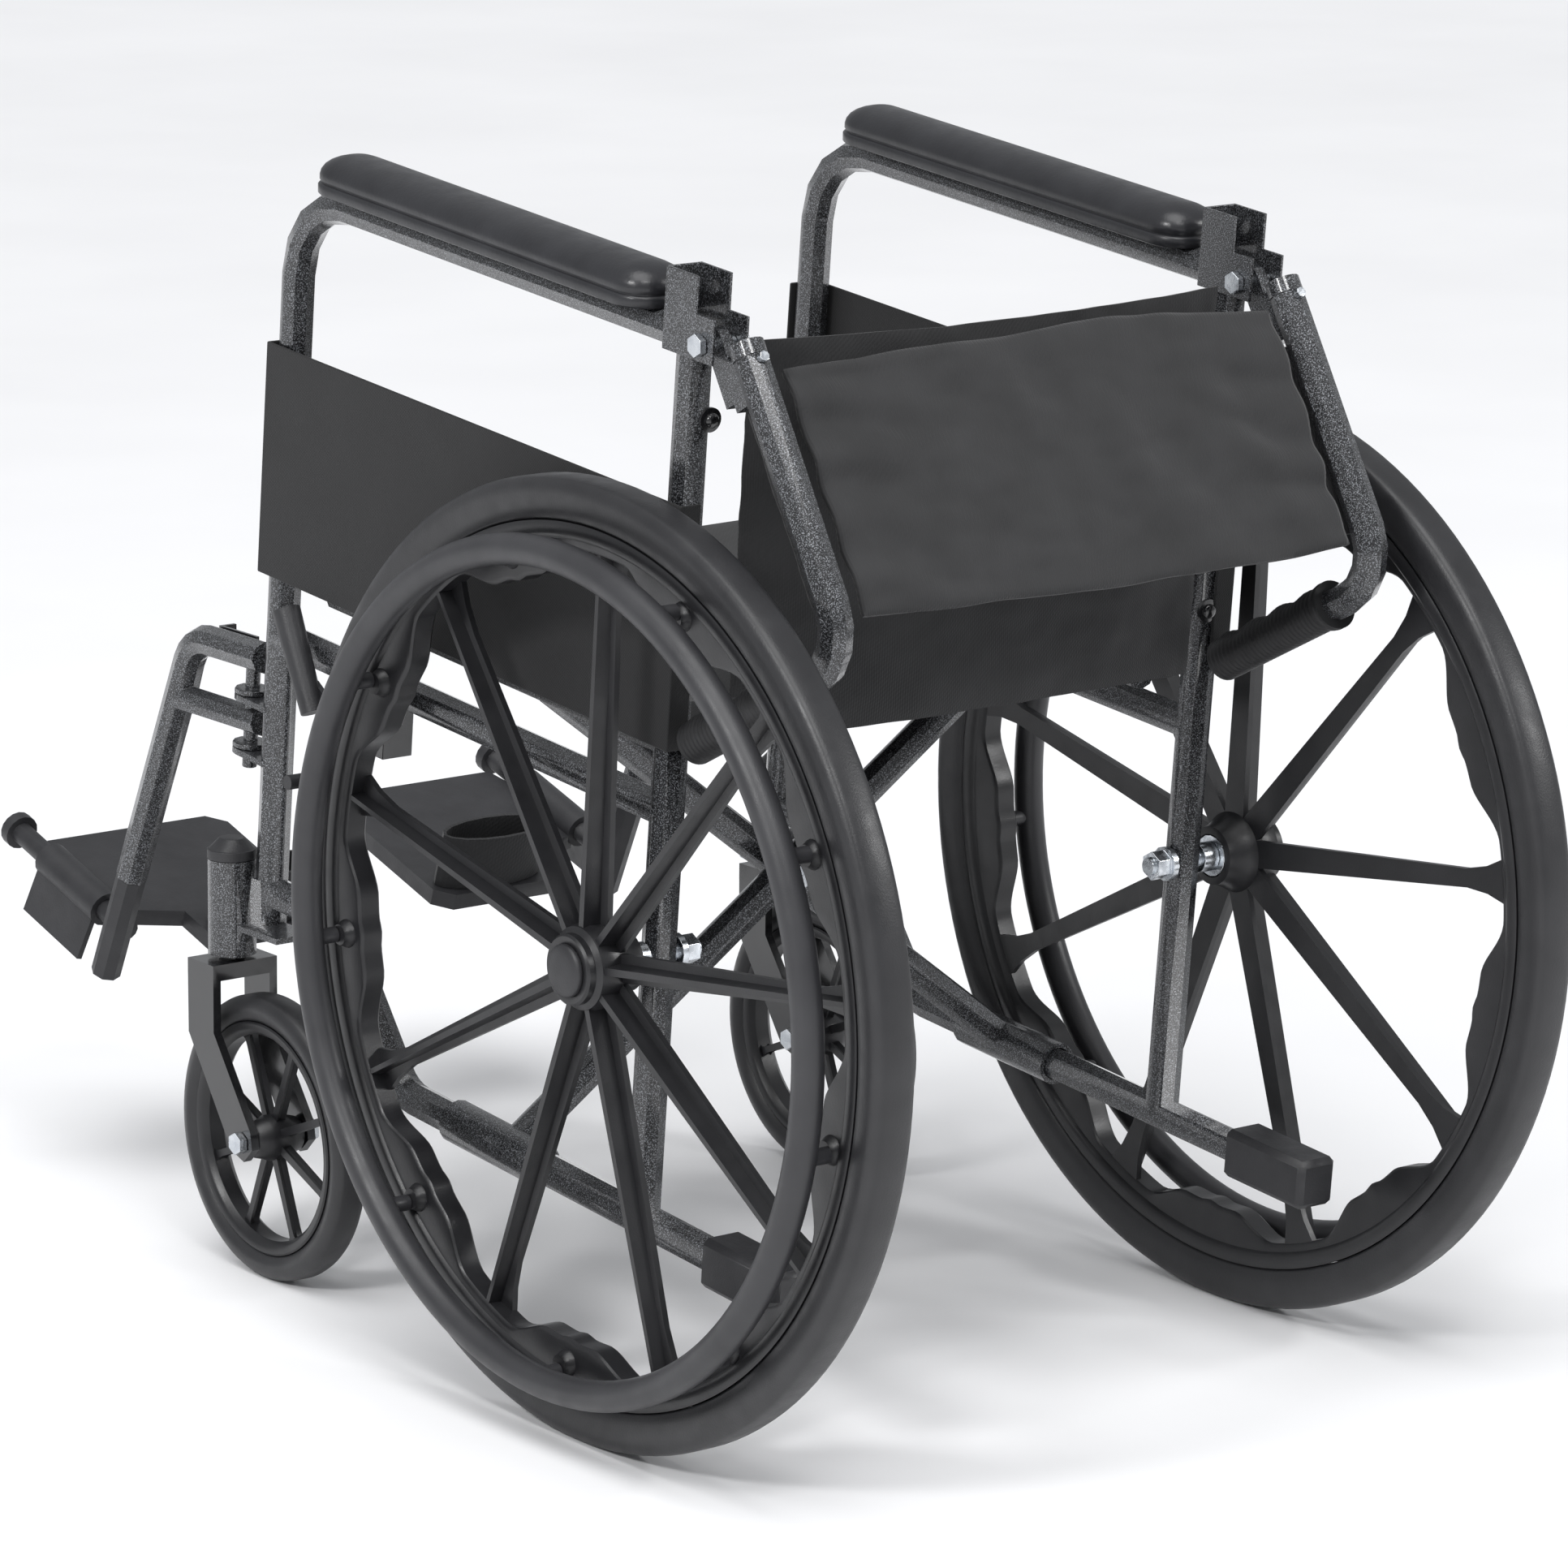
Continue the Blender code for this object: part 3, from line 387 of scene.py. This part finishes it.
def moulded_spoke(centre, side, angle):
    """A ribbed spoke that narrows outward and flares where it meets the rim."""
    foot, end = 0.022, 0.2650
    back, web = -0.0070, -0.0030

    def section(share):
        flare = 0.010 * smooth_step(share, 0.88, 1.0)
        wide = 0.0092 - 0.0036 * share + flare
        rib, depth = 0.0024 - 0.0008 * share, 0.0105 - 0.0035 * share
        return [(-wide, back), (wide, back), (wide, web), (rib + 0.0010, web + 0.0012),
                (rib, depth), (-rib, depth), (-rib - 0.0010, web + 0.0012), (-wide, web)]

    return prism(section, foot, end, spoke_place(centre, angle, side))


def moulded_hub(centre, side):
    outline = [(0.0150, HUB_OUT - 0.0010), (0.0172, HUB_OUT), (0.0212, HUB_OUT), (0.0226, HUB_OUT - 0.0015),
               (0.0226, HUB_OUT - 0.0060), (0.0262, HUB_OUT - 0.0085), (0.0275, WHEEL_X + 0.0060),
               (0.0275, WHEEL_X - 0.0060), (0.0240, WHEEL_X - 0.0120), (0.0205, HUB_IN + 0.0060),
               (0.0195, HUB_IN + 0.0006), (0.0180, HUB_IN), (0.0145, HUB_IN), (0.0145, HUB_IN + 0.0093),
               (0.0070, HUB_IN + 0.0100), (0.0070, HUB_OUT - 0.0090), (0.0150, HUB_OUT - 0.0090)]
    return spun(lambda _: [(radius, side * (x - WHEEL_X)) for radius, x in outline], 72, centre)


def moulded_fixing(centre, side, angle):
    """A tapered post on the rim that reaches out to the handrim."""
    foot = centre + Vector((0, math.cos(angle), math.sin(angle))) * STANDOFF_R * 0.985
    top = foot + Vector((side * (HANDRIM_X - 0.0207 - WHEEL_X), 0, 0))
    return along(foot, top, lambda share, _: 0.0098 - 0.0030 * smooth_step(share, 0.5, 1.0), 10, 20, BACKWARD)


def make_handrim(name, side):
    sides = 24
    ring = []
    for step in range(sides):
        turn = step * math.tau / sides
        ring.append((HANDRIM_R + HANDRIM_TUBE_R * math.cos(turn), HANDRIM_TUBE_R * math.sin(turn)))
    centre = Vector((side * HANDRIM_X, AXLE_Y, WHEEL_R))
    meshes = [spun(lambda _: ring, 160, centre)]
    for angle in fixing_angles():
        foot = centre + Vector((-side * 0.0202, STANDOFF_R * math.cos(angle), STANDOFF_R * math.sin(angle)))
        meshes.append(along(foot, foot + Vector((side * 0.016, 0, 0)),
                            lambda share, _: 0.0052 + 0.0016 * smooth_step(share, 0.6, 1.0), 8, 20, BACKWARD))
    handrim = piece(name + "_push_rim", merged(meshes), "handrim", name + "_rear_wheel", 50)
    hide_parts(name + "_handrim")


def make_hub_cap(name, side):
    start = Vector((side * (HUB_OUT + 0.0003), AXLE_Y, WHEEL_R))
    end = start + Vector((side * 0.0049, 0, 0))

    def dome(share, _):
        return 0.0168 * math.sqrt(max(0.03, 1 - (share * 0.96) ** 4))

    mesh = along(start, end, dome, 10, 40, BACKWARD)
    cap = piece(name + "_domed_hub_cap", mesh, "cap_plastic", name + "_rear_wheel", 60)
    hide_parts(name + "_hub_cap")


def make_rear_wheel(name, side):
    body = name + "_rear_wheel"
    centre = Vector((side * WHEEL_X, AXLE_Y, WHEEL_R))
    section = tyre_profile(WHEEL_R, 0.0148, 0.027, 0.0092)
    tyre = piece(name + "_solid_tyre", spun(lambda _: section, 144, centre), "rubber", body, 60)
    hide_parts(name + "_tyre")
    meshes = [moulded_rim(centre)]
    for index in range(SPOKES):
        meshes.append(moulded_spoke(centre, side, SPOKE_TURN + index * math.tau / SPOKES))
    meshes.append(moulded_hub(centre, side))
    meshes += [moulded_fixing(centre, side, angle) for angle in fixing_angles()]
    wheel = piece(name + "_moulded_wheel", merged(meshes), "wheel_plastic", body, 35)
    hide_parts(name + "_wheel")
    make_handrim(name, side)
    make_hub_cap(name, side)


def caster_spoke(centre, angle):
    """A thin waisted spoke that widens into the caster's rim."""
    deep, foot, end = 0.0035, 0.0120, 0.0725

    def outline(share):
        wide = 0.0030 - 0.0008 * share + 0.004 * smooth_step(share, 0.9, 1.0)
        return [(-wide, -deep), (wide, -deep), (0.0012, 0.0), (wide, deep), (-wide, deep), (-0.0012, 0.0)]

    return prism(outline, foot, end, spoke_place(centre, angle))


def make_caster(name, side):
    body = name + "_caster"
    centre = Vector((side * CASTER_X, AXLE_Y + CASTER_AXLE_Y, CASTER_R))
    section = tyre_profile(CASTER_R, 0.0125, 0.018, 0.0066)
    tyre = piece(name + "_caster_tread", spun(lambda _: section, 96, centre), "rubber", body, 60)
    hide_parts(name + "_caster_tyre")
    rim = mirrored([(0.0792, 0.0098), (0.0780, 0.0106), (0.0745, 0.0104), (0.0725, 0.0090), (0.0700, 0.0055)])
    hub = mirrored([(0.0060, 0.0184), (0.0100, 0.0184), (0.0118, 0.0165), (0.0140, 0.0090), (0.0155, 0.0060)])
    meshes = [spun(lambda _: rim, 96, centre), spun(lambda _: hub, 40, centre)]
    meshes += [caster_spoke(centre, (index + 0.5) * math.tau / CASTER_SPOKES) for index in range(CASTER_SPOKES)]
    wheel = piece(name + "_caster_hub_and_spokes", merged(meshes), "wheel_plastic", body, 35)
    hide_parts(name + "_caster_wheel")


# Pads, grips and cloth

def make_arm_pad(name, side):
    """A base tray with a groove above it and a crowned cushion, as (height, inset) layers."""
    low = ARM_H + 0.0113
    half_width, front, rear = 0.0250, -0.388, -0.030
    squareness, steps = 2.4, 96
    layers = [(0.0, 0.0012), (0.0010, 0.0002), (0.0062, 0.0), (0.0072, 0.0007), (0.0078, 0.0019),
              (0.0086, 0.0019), (0.0098, 0.0008), (0.0130, 0.0008), (0.0160, 0.0016), (0.0192, 0.0038),
              (0.0218, 0.0072), (0.0238, 0.0114), (0.0252, 0.0160), (0.0259, 0.0205), (0.0261, 0.0240)]
    points = []
    for rise, inset in layers:
        for step in range(steps):
            turn = step * math.tau / steps
            cos, sin = math.cos(turn), math.sin(turn)
            squarer = (abs(cos) ** squareness + abs(sin) ** squareness) ** (-1 / squareness)
            x = (half_width - inset) * cos * squarer
            end = rear - half_width if sin > 0 else front + half_width
            y = end + (half_width - inset) * sin * squarer
            share = min(1, max(0, (y - front) / (rear - front)))
            crown = 0.0008 * math.sin(math.pi * share) if rise > 0.02 else 0
            points.append(frame_point(side * POST_X + x, y, low + rise - 0.0008 + crown))
    faces = grid_faces(len(layers), steps, wrap_columns=True)
    faces += [tuple(range(steps)), tuple((len(layers) - 1) * steps + step for step in range(steps))]
    pad = piece(name + "_padded_arm_rest", mesh_from(points, faces), "vinyl", name + "_frame", 50)
    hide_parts(name + "_arm_pad")


def make_grip(name, side):
    ribs, fingers = 30, 4.2
    top = CANE_FOOT + CANE_LENGTH

    def grip_place(distance):
        return cane_point(side * POST_X, CANE_AXIS + distance * math.cos(GRIP_DROOP),
                          top - distance * math.sin(GRIP_DROOP))

    def radius(share, angle):
        rib = 0.0005 * (0.5 + 0.5 * math.cos(share * math.tau * ribs))
        finger = max(0.0, math.sin(angle)) ** 2 * 0.0012 * math.cos((share - 0.15) * math.tau * fingers)
        collar = 0.0020 * (1 - smooth_step(share, 0.05, 0.08))
        end = 0.0040 * smooth_step(share, 0.975, 1.0)
        return 0.0136 + rib + (finger if 0.1 < share < 0.95 else 0) + collar - end

    mesh = along(grip_place(0.0522), grip_place(0.1738), radius, 150, 36)
    grip = piece(name + "_ribbed_grip", mesh, "soft_grip", name + "_cane", 60)
    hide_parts(name + "_push_grip")


def cloth_slab(surface, columns, rows, thickness, name, look, body):
    """A closed soft slab whose middle surface is surface(u, v), with rounded edges."""
    points = []
    middle = [[surface(c / (columns - 1), r / (rows - 1)) for c in range(columns)] for r in range(rows)]
    for sign in (1, -1):
        for r in range(rows):
            for c in range(columns):
                left, right = middle[r][max(0, c - 1)], middle[r][min(columns - 1, c + 1)]
                under, over = middle[max(0, r - 1)][c], middle[min(rows - 1, r + 1)][c]
                normal = (right - left).cross(over - under).normalized()
                edge = min(c, columns - 1 - c, r, rows - 1 - r)
                full = thickness / 2 * (0.45 if edge == 0 else 0.85 if edge == 1 else 1.0)
                points.append(middle[r][c] + normal * sign * full)
    count = columns * rows
    faces = grid_faces(rows, columns)
    faces += [tuple(count + index for index in reversed(face)) for face in grid_faces(rows, columns)]
    border = list(range(columns)) + [r * columns + columns - 1 for r in range(1, rows)]
    border += [(rows - 1) * columns + c for c in range(columns - 2, -1, -1)]
    border += [r * columns for r in range(rows - 2, 0, -1)]
    for here, after in zip(border, border[1:] + border[:1]):
        faces.append((here, count + here, count + after, after))
    return piece(name, mesh_from(points, faces), look, body, 70)


def ripple(x, y, scale, size, seed):
    """A smooth wrinkle of about the given size, the same for the same seed."""
    return noise.noise(Vector((x * scale, y * scale, seed))) * size


def make_back_flap():
    """The upper back's cloth, hanging between the folded canes, soft and wrinkled."""
    low, high, width = 0.030, 0.190, 0.386

    def surface(u, v):
        x = (u - 0.5) * width
        middle = 1 - abs(2 * u - 1) ** 2.2
        h = low + (high - low) * v + 0.004 * middle * (v - 0.5) * 2
        h += ripple(x, 0.3 + v, 12.0, 0.0050, 7.7) * abs(2 * v - 1) * middle
        belly = 0.0035 * math.sin(math.pi * v) * middle + 0.0030 * middle * (1 - smooth_step(v, 0.0, 0.22))
        pull = ripple(x * 1.4 + v * 0.05, v * 0.12, 17.0, 0.0075, 3.1) * (0.35 + 0.65 * middle)
        pull += ripple(x, v * 0.30, 40.0, 0.0020, 9.4)
        waver = 3 * noise.noise(Vector((u * 4, v * 3, 1.0)))
        drag = smooth_step(abs(2 * u - 1), 0.45, 0.85)
        pull += 0.0022 * math.sin(26 * v + 14 * u + waver) * drag
        return cane_point(x, CANE_AXIS - 0.0012 - belly + pull * 0.8, h)

    flap = cloth_slab(surface, 130, 56, 0.0066, "upper_back_cloth", "nylon", "left_cane")
    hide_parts("back_upper")
    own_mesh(flap)


def make_cane_strips():
    """A narrow strip of the back's cloth along each cane."""
    for name, side in SIDES:
        def strip(u, v, side=side):
            x = side * (POST_X - 0.020 + 0.022 * u)
            wrinkle = ripple(x * 3, v, 9.0, 0.0016, 2.2 + side)
            return cane_point(x, CANE_AXIS + 0.0140 + 0.0020 * u + wrinkle, 0.050 + 0.128 * v)

        band = cloth_slab(strip, 14, 40, 0.0034, name + "_cane_strip", "nylon", name + "_cane")


def make_lower_back():
    """The lower back's cloth, stretched between the rear posts and bowed backward."""
    low, tall, width = 0.441, 0.257, 0.372

    def surface(u, v):
        x = (u - 0.5) * width
        share = 1 - (abs(x) / 0.190) ** 2
        y = 0.018 + 0.036 * share * (1 - 0.45 * v) + 0.002 * share * math.sin(math.pi * v)
        h = low + tall * v + 0.012 * share * (1 - v)
        y += ripple(x, v * 0.16, 18.0, 0.0040, 1.7) * share + ripple(x, v * 0.5, 46.0, 0.0012, 5.0)
        return frame_point(x, y, h)

    back = cloth_slab(surface, 110, 46, 0.0030, "lower_back_cloth", "nylon", "left_frame")
    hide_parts("back_lower")
    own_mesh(back)


def make_seat():
    """The seat's cloth, stretched over the two seat rails."""
    front, depth = -0.403, 0.379

    def surface(u, v):
        x = (u - 0.5) * 2 * (SEAT_RAIL_X + 0.010)
        y = front + depth * v
        share = 1 - (abs(x) / (SEAT_RAIL_X + 0.011)) ** 2
        h = SEAT_RAIL_H + 0.0136 - 0.0010 * share + ripple(x, y, 11.0, 0.0010, 6.6) * share
        return frame_point(x, y, h)

    seat = cloth_slab(surface, 60, 60, 0.0030, "seat_cloth", "nylon", "cross_brace_a")
    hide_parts("seat_upholstery")
    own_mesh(seat)


def make_screws():
    """The screws with washers that hold the lower back to each rear post."""
    for name, side in SIDES:
        for place, height in (("upper", 0.649), ("lower", 0.479)):
            start = frame_point(side * (POST_X - 0.0060), 0.0105, height)
            out = (frame_point(0, 1, 0) - frame_point(0, 0, 0)).normalized()

            def radius(share, _):
                washer = 0.0078 if share < 0.40 else 0.0048
                return washer * math.sqrt(max(0.04, 1 - max(0.0, (share - 0.55) / 0.47) ** 2))

            mesh = along(start, start + out * 0.0062, radius, 16, 28)
            piece("%s_%s_back_screw" % (name, place), mesh, "black_paint", name + "_frame", 40)


# Every CAD piece that has no shape of its own above is shown again, smooth and with softened edges

EDGE = {"side_frame": 0.0, "cross_tube": 0.0, "footplate": 0.0012, "rear_tip_cap": 0.0012,
        "wheel_lock_lever": 0.0012, "side_panel": 0.0012, "caster_fork": 0.0012, "back_cane": 0.0006}
USUAL_EDGE = 0.0005
OWN_LOOK = {"side_panel": "panel", "heel_loop": "webbing", "wheel_lock_lever": "cap_plastic"}


def make_smooth_copies():
    slots = {part["node"]: part["material_slot"] for part in frame["record"]["subparts"]}
    bodies = frame["record"]["behaviour"]["bodies"]
    body_of = {node: body for body, nodes in bodies.items() for node in nodes}
    for node, source in frame["nodes"].items():
        if source.hide_render:
            continue
        shape = bmesh.new()
        shape.from_mesh(source.data)
        bmesh.ops.remove_doubles(shape, verts=shape.verts, dist=0.00002)
        bmesh.ops.dissolve_limit(shape, angle_limit=math.radians(0.5), verts=shape.verts, edges=shape.edges)
        mesh = bpy.data.meshes.new(node)
        shape.to_mesh(mesh)
        shape.free()
        kind = node.replace("left_", "").replace("right_", "")
        look = OWN_LOOK.get(kind, slots[node])
        obj = piece(node + "_finish", mesh, look, body_of[node], 38)
        width = next((size for key, size in EDGE.items() if kind.startswith(key)), USUAL_EDGE)
        if width:
            rounded(obj, width)
        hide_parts(node)
        if kind == "heel_loop":
            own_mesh(obj)


for side_name, side_sign in SIDES:
    make_rear_wheel(side_name, side_sign)
    make_caster(side_name, side_sign)
    make_arm_pad(side_name, side_sign)
    make_grip(side_name, side_sign)
make_seat()
make_lower_back()
make_back_flap()
make_cane_strips()
make_screws()
make_smooth_copies()


# Floor, light and camera

def make_studio():
    far = 30
    mesh = mesh_from([(-far, -far, 0), (far, -far, 0), (far, far, 0), (-far, far, 0)], [(0, 1, 2, 3)])
    floor = bpy.data.objects.new("floor", mesh)
    bpy.context.scene.collection.objects.link(floor)
    floor_shade = Shade("pale_floor", (0.86, 0.86, 0.87), 0.75)
    floor_shade.paint(floor_shade.grain(2.0), (0.84, 0.84, 0.85), (0.88, 0.88, 0.89))
    mesh.materials.append(floor_shade.material)
    world = bpy.data.worlds.new("studio")
    world.use_nodes = True
    nodes, links = world.node_tree.nodes, world.node_tree.links
    nodes["Background"].inputs["Color"].default_value = (0.95, 0.97, 1.0, 1)
    strength = nodes.new("ShaderNodeMapRange")
    strength.inputs["To Min"].default_value = 0.46
    strength.inputs["To Max"].default_value = 1.0
    links.new(nodes.new("ShaderNodeLightPath").outputs["Is Camera Ray"], strength.inputs["Value"])
    links.new(strength.outputs["Result"], nodes["Background"].inputs["Strength"])
    bpy.context.scene.world = world
    target = Vector((0.0, 0.05, 0.40))
    lamps = ((Vector((3.2, 0.8, 2.4)), 0.9, 62.0), (Vector((-2.6, 2.8, 2.2)), 0.9, 40.0),
             (Vector((1.2, 3.0, 3.4)), 1.0, 34.0))
    for index, (place, size, power) in enumerate(lamps):
        light = bpy.data.lights.new("softbox_%d" % index, "AREA")
        light.shape = "RECTANGLE"
        light.size, light.size_y = size, size * 0.6
        light.energy = power
        lamp = bpy.data.objects.new(light.name, light)
        lamp.location = place
        lamp.rotation_euler = (target - place).to_track_quat("-Z", "Y").to_euler()
        bpy.context.scene.collection.objects.link(lamp)
    overhead = bpy.data.lights.new("overhead", "SUN")
    overhead.energy, overhead.angle = 1.9, math.radians(50)
    lamp = bpy.data.objects.new("overhead", overhead)
    lamp.rotation_euler = (math.radians(-12), math.radians(14), 0)
    bpy.context.scene.collection.objects.link(lamp)


def make_camera():
    target, distance = Vector((0.1165, AXLE_Y, 0.4004)), 4.5896
    azimuth, elevation, roll = math.radians(142.324), math.radians(13.054), math.radians(0.633)
    back = Vector((math.sin(azimuth) * math.cos(elevation), -math.cos(azimuth) * math.cos(elevation),
                   math.sin(elevation)))
    right = Vector((math.cos(azimuth), math.sin(azimuth), 0.0))
    up = back.cross(right)
    turned_right = right * math.cos(roll) + up * math.sin(roll)
    turned_up = up * math.cos(roll) - right * math.sin(roll)
    camera = bpy.data.objects.new("camera", bpy.data.cameras.new("camera"))
    camera.data.lens = 168.5
    camera.data.sensor_width = 36.0
    camera.data.clip_end = 100.0
    place = target + back * distance
    turn = Matrix((turned_right, turned_up, back)).transposed().to_4x4()
    camera.matrix_world = Matrix.Translation(place) @ turn
    bpy.context.scene.collection.objects.link(camera)
    bpy.context.scene.camera = camera


make_studio()
make_camera()
bpy.context.scene.view_settings.view_transform = "Standard"
